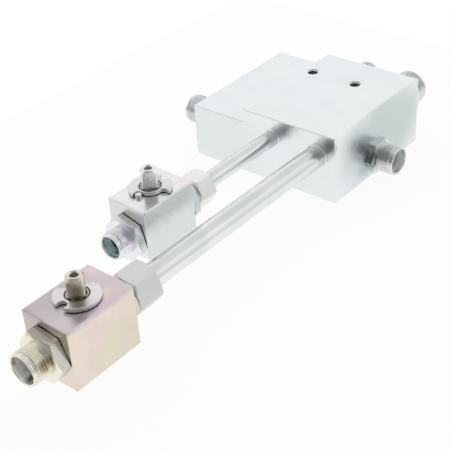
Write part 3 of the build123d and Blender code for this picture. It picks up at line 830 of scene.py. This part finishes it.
@dataclass(frozen=True)
class ConeEnd:
    """Threaded cone end that takes one size of tube.

    Attributes:
        tube: Tube radius.
        bore: Bore radius.
        pitch: Distance between the thread's ridges, as the photo shows them.
        depth: Depth of the thread.
        flare: How far the mouth's radius is beyond the tube's.
        undercut: Depth of the neck behind the thread, below the crest.
    """

    tube: float
    bore: float
    pitch: float = 2.4
    depth: float = 1.2
    wall: float = 4.0
    flare: float = 1.15
    undercut: float = 1.3
    undercut_length: float = 1.5
    plain_step: float = 0.8
    plain_length: float = 2.5
    plain_run: float = 0.3
    tip_break: float = 0.4
    socket_depth: float = 11.0
    play: float = 0.1

    @property
    def crest(self) -> float:
        """Outer radius of the thread."""
        return self.tube + self.wall

    @property
    def root(self) -> float:
        """Radius at the bottom of the thread."""
        return self.crest - self.depth

    def rings(self, base: float, tip: float) -> list[Ring]:
        """Rings up the outside, with the thread's core, and down the cone and tube's socket.

        Args:
            base: Height of the hexagon's face.
            tip: Height of the mouth.

        Returns:
            The rings, from the hexagon's face out to the mouth and back to the bore.
        """
        neck = self.crest - self.undercut
        plain = self.crest - self.plain_step
        mouth = self.tube + self.flare
        socket = self.tube + self.play
        cone = (self.flare - self.play) / math.tan(math.radians(CONE_HALF_ANGLE))
        return [
            Ring(neck, base), Ring(neck, base + self.undercut_length),
            Ring(self.root, base + self.undercut_length + self.root - neck),
            Ring(self.root, tip - self.plain_length - self.plain_run),
            Ring(plain, tip - self.plain_length), Ring(plain, tip - self.tip_break),
            Ring(plain - self.tip_break, tip),
            Ring(mouth + self.tip_break, tip), Ring(mouth, tip - self.tip_break),
            Ring(socket, tip - self.tip_break - cone), Ring(socket, tip - self.socket_depth),
            Ring(self.bore, tip - self.socket_depth)]

    def thread(self, base: float, tip: float) -> Thread:
        """Thread between the undercut and the plain end."""
        return Thread(self.root, self.crest, self.pitch,
                      base + self.undercut_length, tip - self.plain_length)


def hexagon(half_width: float, start: float, stop: float, both_ends: bool = False) -> list[Ring]:
    """Rings up the outside of a hexagon with turned corners.

    Args:
        half_width: Half its width across flats.
        start: Height of its lower face.
        stop: Height of its upper face.
        both_ends: Whether the lower corners are turned too.

    Returns:
        The rings, from the lower face to the upper.
    """
    face = half_width * HEX_FACE
    slope = math.tan(math.radians(HEX_CHAMFER))
    lower = [Ring(half_width, start, flats=6)]
    if both_ends:
        lower = [Ring(face, start), Ring(half_width, start, 6, face, -slope)]
    return [*lower, Ring(half_width, stop, 6, face, slope), Ring(face, stop)]


@dataclass
class PortStud:
    """A port stud on one of the block's faces.

    Attributes:
        half_hex: Half its hexagon's width across flats.
        turn: Angle of the hexagon's corner.
        shank_step: How much smaller the shank's radius is than the thread's crest.
        seal_room: How far the seal's groove reaches round the shank.
    """

    dresser: Dresser
    name: str
    end: ConeEnd
    axis: Axis
    half_hex: float
    turn: float
    hex_height: float = 5.5
    end_length: float = 19.0
    shank_length: float = 14.0
    shank_step: float = 1.8
    seal_room: float = 2.1
    seal_height: float = 1.2
    tip_break: float = 1.2
    edge: float = 0.18

    def build(self) -> None:
        """Make the stud and dress it and its seal."""
        node = f"{self.name}_port_stud"
        shank = self.end.crest - self.shank_step
        tip = self.hex_height + self.end_length
        low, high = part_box(node)
        outward = Vector(self.axis.value[0])
        mouth = middle_m(node) + outward * abs((high - low).dot(outward)) / 2
        turned = Turned(self.turn)
        turned.add_rings([
            Ring(self.end.bore, -self.shank_length),
            Ring(shank - self.tip_break, -self.shank_length),
            Ring(shank, self.tip_break - self.shank_length), Ring(shank, self.seal_height),
            Ring(shank + self.seal_room, self.seal_height), Ring(shank + self.seal_room, 0),
            *hexagon(self.half_hex, 0, self.hex_height),
            *self.end.rings(self.hex_height, tip)])
        turned.soften(self.edge)
        turned.add_thread(self.end.thread(self.hex_height, tip))
        self.dresser.turn(turned, node, self.axis.matrix(mouth - outward * tip * MM), BRIGHT_ZINC_PAINTED_LIGHT_AND_SHADE)
        self.dresser.keep(f"{self.name}_port_seal", SEAL_RUBBER)


@dataclass
class Block:
    """The manifold block, the plug in its base and its tapped holes.

    Attributes:
        hole_x: Places of the two tapped holes along X.
        hole_y: Their place along Y.
        core: Radius of the drilled hole.
        slack: How far from that radius a point of the hole's wall may lie.
        major: Radius at the bottom of the thread's grooves.
        seat: How deep the thread's ridge stands in the hole's wall.
        mouth_break: Depth at which the thread begins.
    """

    dresser: Dresser
    hole_x: tuple[float, float] = (-12.0, 40.0)
    hole_y: float = 30.0
    core: float = 5.1
    slack: float = 0.05
    major: float = 6.0
    pitch: float = 1.75
    depth: float = 23.0
    seat: float = 0.3
    mouth_break: float = 0.4
    edge: float = 0.25
    plug_edge: float = 0.2

    def build(self) -> None:
        """Make the block with softened edges and threaded holes, and its plug."""
        shape = shape_of("manifold_block")
        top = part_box("manifold_block")[1].z
        mouths = [Vector((x * MM, self.hole_y * MM, top)) for x in self.hole_x]
        for mouth in mouths:  # Open the drilled holes out to the bottom of the grooves.
            for vert in shape.verts:
                arm = vert.co.xy - mouth.xy
                if abs(arm.length - self.core * MM) < self.slack * MM:
                    vert.co.xy = mouth.xy + arm * (self.major / self.core)
        round_edges(shape, self.edge * MM, least=CAD_SHARP)
        ridge = Thread(self.major, self.core, self.pitch, -self.depth, -self.mouth_break,
                       seat=self.seat, side=-1)
        for mouth in mouths:
            tapped = Turned()
            tapped.add_thread(ridge)
            place = Axis.UP.matrix(mouth)
            bmesh.ops.transform(tapped.shape, matrix=place, verts=tapped.shape.verts[:])
            pour(tapped.shape, shape)
        self.dresser.stand_for(shape, "manifold_block", BLOCK_ZINC_PAINTED_SHADE)
        self.dresser.soften("base_plug", self.plug_edge, NUT_ZINC)


@dataclass
class Line:
    """A tube from a valve into the block, its braze, its union nut and its cutting ring.

    Attributes:
        name: near or far.
        tube: Tube radius.
        wall: Tube wall.
        nut_half: Half the nut's width across flats.
        nut_turn: Angle of the nut's corner.
        thread: Radius of the nut's thread.
        cone_stand: How far beyond the valve's mouth the nut's inner cone begins.
        fillet_step: Angle from one ring of the braze's hollow to the next.
    """

    dresser: Dresser
    name: str
    tube: float
    wall: float
    nut_half: float
    nut_turn: float
    nut_length: float
    thread: float
    nut_finish: Plating
    cone_stand: float = 3.0
    play: float = 0.1
    nut_edge: float = 0.35
    nut_steps: int = 3
    fillet_step: int = 15
    fillet_steps: int = 6

    def build(self, mouth_m: float) -> None:
        """Make the line's pieces.

        Args:
            mouth_m: Where the valve's rear mouth lies along Y, in metres.
        """
        self._tube()
        self._braze()
        self._nut(mouth_m)
        self.dresser.keep(f"{self.name}_cutting_ring", NUT_ZINC)

    @staticmethod
    def _on_axis(node: str, y_m: float) -> Vector:
        """Point on a piece's axis, which lies along Y, in metres."""
        middle = middle_m(node)
        return Vector((middle.x, y_m, middle.z))

    def _tube(self) -> None:
        """Make the tube."""
        node = f"{self.name}_tube"
        low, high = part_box(node)
        length = (high.y - low.y) / MM
        bore = self.tube - self.wall
        turned = Turned()
        turned.add_rings([
            Ring(bore, 0), Ring(self.tube, 0), Ring(self.tube, length), Ring(bore, length)])
        self.dresser.turn(turned, node, Axis.BACK.matrix(self._on_axis(node, low.y)), TUBE_ZINC_PAINTED_SHADE)

    def _braze(self) -> None:
        """Make the braze as a hollow fillet."""
        node = f"{self.name}_braze_ring"
        low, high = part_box(node)
        leg = (high.y - low.y) / MM
        inner = (high.x - low.x) / MM / 2 - leg
        turned = Turned()
        angles = [math.radians(self.fillet_step * step) for step in range(self.fillet_steps + 1)]
        turned.add_rings([Ring(inner, 0), *(
            Ring(inner + leg * (1 - math.sin(angle)), leg * (1 - math.cos(angle)))
            for angle in angles)])
        self.dresser.turn(turned, node, Axis.FRONT.matrix(self._on_axis(node, high.y)), BRAZE)

    def _nut(self, mouth_m: float) -> None:
        """Make the union nut.

        Args:
            mouth_m: Where the valve's rear mouth lies along Y, in metres.
        """
        node = f"{self.name}_union_nut"
        start_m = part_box(node)[0].y
        cone_start = (mouth_m - start_m) / MM + self.cone_stand
        hole = self.tube + self.play
        turned = Turned(self.nut_turn)
        turned.add_rings([
            *hexagon(self.nut_half, 0, self.nut_length, both_ends=True),
            Ring(hole, self.nut_length), Ring(hole, cone_start + self.thread - hole),
            Ring(self.thread, cone_start), Ring(self.thread, 0)])
        turned.soften(self.nut_edge, self.nut_steps)
        place = Axis.BACK.matrix(self._on_axis(node, start_m))
        self.dresser.turn(turned, node, place, self.nut_finish)


@dataclass
class BallValve:
    """One ball valve with its screwed ends, ball, seats and turning spindle.

    Attributes:
        name: near or far.
        half_hex: Half the width across flats of its ends.
        front_hex: Height of the front hexagon.
        rear_hex: Height of the rear hexagon.
        mouth: Distance from the body to the mouths.
        front_turn: Angle of the front hexagon's corner.
        rear_turn: The same for the rear one.
        collar_ratio: Radius of the collar under a hexagon, as a share of half its width.
        groove_inset: How far inside the body the o-ring's groove begins.
    """

    dresser: Dresser
    name: str
    front_end: ConeEnd
    rear_end: ConeEnd
    half_hex: float
    front_hex: float
    rear_hex: float
    mouth: float
    front_turn: float
    rear_turn: float
    body_finish: Plating
    end_finish: Plating
    spindle_finish: Plating
    collar_ratio: float = 0.9
    collar_height: float = 0.8
    groove_depth: float = 1.7
    groove_width: float = 2.2
    groove_inset: float = 5.0
    edge: float = 0.2
    body_edge: float = 0.25
    disc_edge: float = 0.3

    def build(self) -> float:
        """Make the valve's pieces.

        Returns:
            Where the rear mouth lies along Y, in metres.
        """
        name = self.name
        self.dresser.soften(f"{name}_valve_body", self.body_edge, self.body_finish)
        self.dresser.soften(f"{name}_stop_disc", self.disc_edge, DISC_ZINC_PAINTED_SHADE, steps=3)
        self.dresser.soften(f"{name}_spindle", self.edge, self.spindle_finish)
        self.dresser.soften(f"{name}_stop_pin", self.edge, DISC_ZINC_PAINTED_SHADE)
        kept = {
            "snap_ring": SPRING_STEEL, "ball": BALL_CHROME, "thrust_washer": SEAT_PLASTIC,
            "spindle_o_ring": SEAL_RUBBER, "front_ball_seat": SEAT_PLASTIC,
            "front_adapter_o_ring": SEAL_RUBBER, "rear_ball_seat": SEAT_PLASTIC,
            "rear_adapter_o_ring": SEAL_RUBBER}
        for piece, finish in kept.items():
            self.dresser.keep(f"{name}_{piece}", finish)
        self._adapter("front", Axis.FRONT)
        self._adapter("rear", Axis.BACK)
        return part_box(f"{name}_rear_adapter")[1].y

    def _adapter(self, place: str, axis: Axis) -> None:
        """Make one screwed end.

        Args:
            place: front or rear.
            axis: The way it points.
        """
        end, hex_height, turn, face = (
            (self.front_end, self.front_hex, self.front_turn, 0) if axis is Axis.FRONT
            else (self.rear_end, self.rear_hex, self.rear_turn, 1))
        node = f"{self.name}_{place}_adapter"
        face_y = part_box(f"{self.name}_valve_body")[face].y
        inner_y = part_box(node)[1 - face].y
        seat = f"{self.name}_{place}_ball_seat"
        centre = middle_m(seat)
        spigot = (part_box(seat)[1].x - centre.x) / MM
        depth = abs(face_y - inner_y) / MM
        groove = spigot - self.groove_depth
        collar = self.half_hex * self.collar_ratio
        groove_end = self.groove_inset + self.groove_width
        turned = Turned(turn)
        turned.add_rings([
            Ring(end.bore, -depth), Ring(spigot, -depth), Ring(spigot, -groove_end),
            Ring(groove, -groove_end), Ring(groove, -self.groove_inset),
            Ring(spigot, -self.groove_inset), Ring(spigot, 0), Ring(collar, 0),
            Ring(collar, self.collar_height),
            *hexagon(self.half_hex, self.collar_height, hex_height),
            *end.rings(hex_height, self.mouth)])
        turned.soften(self.edge)
        turned.add_thread(end.thread(hex_height, self.mouth))
        at_face = axis.matrix(Vector((centre.x, face_y, centre.z)))
        self.dresser.turn(turned, node, at_face, self.end_finish)


@dataclass
class Studio:
    """Floor, world, lamp and camera.

    Attributes:
        right: The picture's rightward direction.
        up: The picture's upward direction.
        lens: Focal length on a film of the width below.
        floor_glow: Share of white in the floor that the camera and mirrors see.
        bright_side: Direction of the room's bright side.
        heights: The room's brightness from the ground (-1) to the sky (1).
        sides: Its brightness from the side away from the bright one (-1) to that one (1).
    """

    camera_at_m: Triple = (0.5762, -0.7809, 0.5623)
    right: Triple = (0.7707, 0.6343, -0.0612)
    up: Triple = (-0.3177, 0.4658, 0.8259)
    lens: float = 84.94
    film: float = 36.0
    clip_m: tuple[float, float] = (0.01, 20.0)
    floor_middle_m: tuple[float, float] = (0.02, -0.17)
    floor_half_m: tuple[float, float] = (0.34, 0.46)
    floor_glow: float = 0.93
    paper: tuple[float, float, float, float] = (0.9, 0.9, 0.9, 1.0)
    paper_roughness: float = 0.9
    bright_side: Triple = (-0.6, 0.8, 0.0)
    heights: Levels = (
        (-1.0, 0.95), (-0.255, 0.92), (-0.23, 0.36), (-0.2, 0.36), (-0.175, 0.74), (0.0, 0.8),
        (0.3, 0.88), (0.44, 1.0), (0.58, 1.0), (0.68, 0.8), (0.86, 0.74), (0.93, 0.84),
        (0.97, 1.0), (1.0, 1.0))
    sides: Levels = ((-1.0, 0.34), (-0.6, 0.4), (-0.2, 0.8), (0.0, 1.0), (1.0, 1.0))
    lamp_size_m: float = 1.2
    lamp_power: float = 6.0
    lamp_at_m: Triple = (-0.5, 0.3, 1.6)
    lamp_aim_m: Triple = (0.0, -0.1, 0.0)

    def build(self) -> None:
        """Set up the whole studio."""
        bpy.context.scene.view_settings.view_transform = "Standard"
        self._camera()
        self._floor()
        self._world()
        self._lamp()

    def _camera(self) -> None:
        """Place the camera."""
        data = bpy.data.cameras.new("camera")
        data.lens = self.lens
        data.sensor_width = self.film
        data.clip_start, data.clip_end = self.clip_m
        camera = bpy.data.objects.new("camera", data)
        bpy.context.scene.collection.objects.link(camera)
        right = Vector(self.right).normalized()
        back = right.cross(Vector(self.up)).normalized()
        turn = Matrix((right, back.cross(right), back)).transposed().to_4x4()
        camera.matrix_world = Matrix.Translation(self.camera_at_m) @ turn
        bpy.context.scene.camera = camera

    def _floor(self) -> None:
        """White floor that shows the object's shadow faintly."""
        shape = bmesh.new()
        bmesh.ops.create_grid(shape, x_segments=1, y_segments=1, size=1.0)
        bmesh.ops.scale(shape, vec=(*self.floor_half_m, 1.0), verts=shape.verts[:])
        bmesh.ops.translate(shape, vec=(*self.floor_middle_m, 0.0), verts=shape.verts[:])
        floor = link_mesh("floor", shape)
        graph = Graph("floor_paper")
        graph.fill(graph.shader, {"Base Color": self.paper, "Roughness": self.paper_roughness})
        glow = graph.add("Emission", {"Color": WHITE})
        rays = graph.add("LightPath").outputs
        seen = rays["Is Camera Ray"]
        for kind in ("Is Glossy Ray", "Is Transmission Ray"):
            seen = graph.add("Math", {0: seen, 1: rays[kind]}, operation="MAXIMUM").outputs[0]
        share = graph.add("Math", {0: seen, 1: self.floor_glow}, operation="MULTIPLY")
        mix = graph.add("MixShader", {
            "Fac": share.outputs[0], 1: graph.shader.outputs["BSDF"], 2: glow.outputs["Emission"]})
        graph.fill(graph.tree.nodes["Material Output"], {"Surface": mix.outputs["Shader"]})
        floor.data.materials.append(graph.material)

    def _world(self) -> None:
        """Pale room with a bright back, a dim front and a table's edge below eye level.

        The camera sees it white.
        """
        world = bpy.data.worlds.new("room")
        bpy.context.scene.world = world
        world.use_nodes = True
        room = Nodes(world.node_tree)
        way = room.add("TexCoord").outputs["Generated"]
        split = room.add("SeparateXYZ", {"Vector": way})
        toward = room.add("VectorMath", {0: way, 1: self.bright_side}, operation="DOT_PRODUCT")
        level = room.add("VectorMath", {
            0: self._greys(room, split.outputs["Z"], self.heights),
            1: self._greys(room, toward.outputs["Value"], self.sides)}, operation="MULTIPLY")
        light = room.tree.nodes["Background"]
        room.fill(light, {"Color": level.outputs["Vector"], "Strength": 1.0})
        white = room.add("Background", {"Color": WHITE})
        mix = room.add("MixShader", {
            "Fac": room.add("LightPath").outputs["Is Camera Ray"],
            1: light.outputs["Background"], 2: white.outputs["Background"]})
        room.fill(room.tree.nodes["World Output"], {"Surface": mix.outputs["Shader"]})

    @staticmethod
    def _greys(room: Nodes, value: Socket, levels: Levels) -> Socket:
        """Grey levels over a value from -1 to 1."""
        lift = room.add("MapRange", {"From Min": -1.0, "Value": value})
        return room.ramp(lift.outputs["Result"], [
            ((at + 1) / 2, (level, level, level)) for at, level in levels])

    def _lamp(self) -> None:
        """One broad soft lamp above that isn't mirrored in the plating."""
        data = bpy.data.lights.new("soft_box", "AREA")
        data.shape = "RECTANGLE"
        data.size = data.size_y = self.lamp_size_m
        data.energy = self.lamp_power
        lamp = bpy.data.objects.new("soft_box", data)
        lamp.visible_glossy = False
        bpy.context.scene.collection.objects.link(lamp)
        aim = Vector(self.lamp_aim_m) - Vector(self.lamp_at_m)
        turn = aim.to_track_quat("-Z", "Y").to_matrix().to_4x4()
        lamp.matrix_world = Matrix.Translation(self.lamp_at_m) @ turn


def main() -> None:
    """Build the object, then the studio."""
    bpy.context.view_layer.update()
    dresser = Dresser()
    tube_16 = ConeEnd(tube=8.0, bore=6.0)
    tube_18 = ConeEnd(tube=9.0, bore=7.0)
    tube_22 = ConeEnd(tube=11.0, bore=9.5)
    tube_28 = ConeEnd(tube=14.0, bore=12.0)
    Block(dresser).build()
    for port in (
            PortStud(dresser, "right", tube_22, Axis.RIGHT, half_hex=16.0, turn=3.0),
            PortStud(dresser, "left", tube_22, Axis.LEFT, half_hex=16.0, turn=20.0),
            PortStud(dresser, "rear_large", tube_28, Axis.BACK, half_hex=20.5, turn=30.0),
            PortStud(dresser, "rear_small", tube_16, Axis.BACK, half_hex=13.5, turn=10.0)):
        port.build()
    near = BallValve(
        dresser, "near", tube_22, tube_22, half_hex=20.5, front_hex=11.0, rear_hex=7.0, mouth=27.5,
        front_turn=-6.5, rear_turn=4.0, body_finish=ROSE_ZINC_PAINTED_SHADE, end_finish=OLIVE_ZINC_PAINTED_LIGHT_AND_SHADE,
        spindle_finish=BROWN_STEEL_PAINTED_SHADE)
    far = BallValve(
        dresser, "far", tube_18, tube_16, half_hex=19.0, front_hex=9.5, rear_hex=9.5, mouth=23.5,
        front_turn=-14.5, rear_turn=14.5, body_finish=PALE_ZINC_PAINTED_LIGHT_AND_SHADE, end_finish=BLUE_ZINC_PAINTED_LIGHT_AND_SHADE,
        spindle_finish=GREY_STEEL_PAINTED_SHADE)
    near_line = Line(
        dresser, "near", tube=11.0, wall=2.5, nut_half=18.0, nut_turn=10.0, nut_length=27.0,
        thread=15.1, nut_finish=NUT_ZINC)
    far_line = Line(
        dresser, "far", tube=8.0, wall=2.0, nut_half=15.0, nut_turn=3.0, nut_length=20.0,
        thread=12.1, nut_finish=WHITE_ZINC)
    for valve, line in ((near, near_line), (far, far_line)):
        line.build(valve.build())
    Studio().build()


if __name__ == "__main__":
    logging.basicConfig(level=logging.INFO)
    main()
